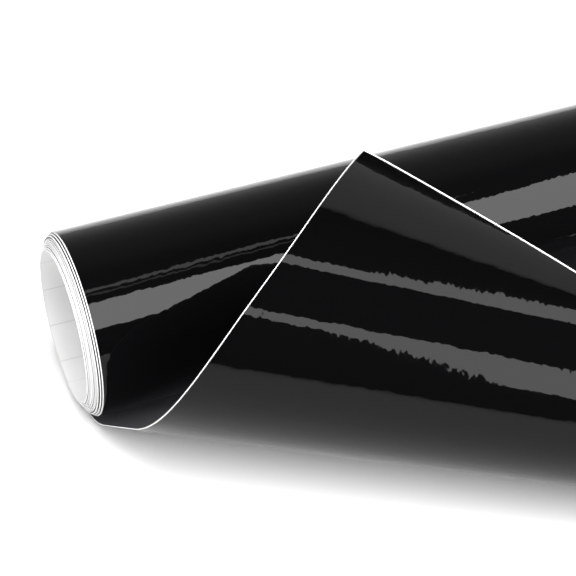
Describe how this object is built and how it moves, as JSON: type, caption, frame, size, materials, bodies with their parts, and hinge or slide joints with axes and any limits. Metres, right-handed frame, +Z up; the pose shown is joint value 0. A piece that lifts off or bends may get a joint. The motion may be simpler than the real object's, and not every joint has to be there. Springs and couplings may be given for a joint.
{
  "type": "roll of sign vinyl",
  "caption": "Coreless roll of gloss black adhesive film on a white release liner, lying on its side with its free end run out and one corner bent up and back.",
  "frame": {"origin": "on the axis of the hollow through the roll, halfway along the strip's width", "axes": "+X along the roll's axis away from the end whose edges stand out, +Z up, the free end runs out towards -Y"},
  "size_m": [0.3061, 0.1755, 0.1051],
  "materials": {
    "film": "gloss",
    "liner": "satin"
  },
  "bodies": {
    "root": {"film_roll": "film", "liner_roll": "liner"},
    "inner_turns": {"film_inner_turns": "film", "liner_inner_turns": "liner"},
    "flap": {"film_flap": "film", "liner_flap": "liner"},
    "corner": {"film_corner": "film", "liner_corner": "liner"}
  },
  "joints": [
    {"name": "turns_slide", "type": "slide", "parent": "root", "child": "inner_turns", "axis": [-1, 0, 0], "range_m": [-0.0011, 0.012]},
    {"name": "lower_bend", "type": "hinge", "parent": "root", "child": "flap", "pos_m": [-0.02876, -0.08085, -0.02306], "axis": [-0.8704, 0.4924, 0], "range_deg": [-48, 0]},
    {"name": "upper_bend", "type": "hinge", "parent": "flap", "child": "corner", "pos_m": [-0.0683, -0.08911, 0.01731], "axis": [-0.8704, 0.4924, 0], "range_deg": [-62, 45]}
  ]
}
